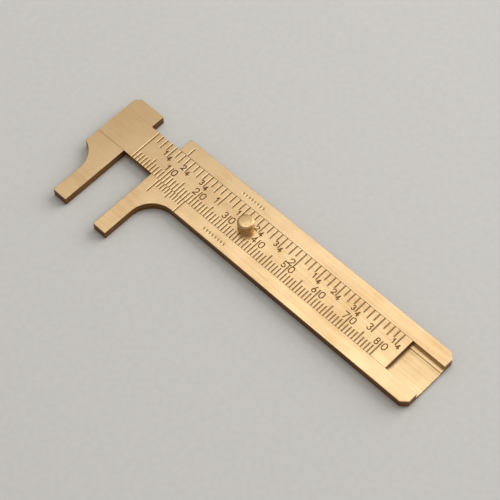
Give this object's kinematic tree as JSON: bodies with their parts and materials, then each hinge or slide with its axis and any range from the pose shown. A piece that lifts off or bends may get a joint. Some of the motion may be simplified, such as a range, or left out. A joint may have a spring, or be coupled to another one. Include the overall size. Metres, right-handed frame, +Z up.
{
  "type": "pocket slide caliper",
  "caption": "Brass pocket slide caliper: graduated slide with jaw and thumb stud running in a dovetail frame with fixed jaw and vernier.",
  "frame": {"origin": "centre of the caliper's bounding box in plan, on its flat back, with the jaws 9.9 mm open", "axes": "+X along the slide towards the frame's tail, +Y from the jaw tips to the inch edge, +Z up out of the graduated face"},
  "size_m": [0.1068, 0.0338, 0.0059],
  "materials": {
    "brass_frame": "brushed lengthwise, engraved",
    "brass_slide": "brushed, engraved graduations",
    "brass_jaw": "brushed satin",
    "brass_turned": "turned, bright",
    "spring_bronze": "rolled strip, dull"
  },
  "bodies": {
    "frame_body": {"frame": "brass_frame", "friction_spring": "spring_bronze", "spring_rivet": "brass_turned"},
    "slide_body": {"slide_bar": "brass_slide", "moving_jaw": "brass_jaw", "thumb_stud": "brass_turned", "stop_pin": "brass_turned"}
  },
  "joints": [
    {"name": "slide_travel", "type": "slide", "parent": "frame_body", "child": "slide_body", "axis": [-1, 0, 0], "range_m": [-0.00988, 0.0701]}
  ]
}
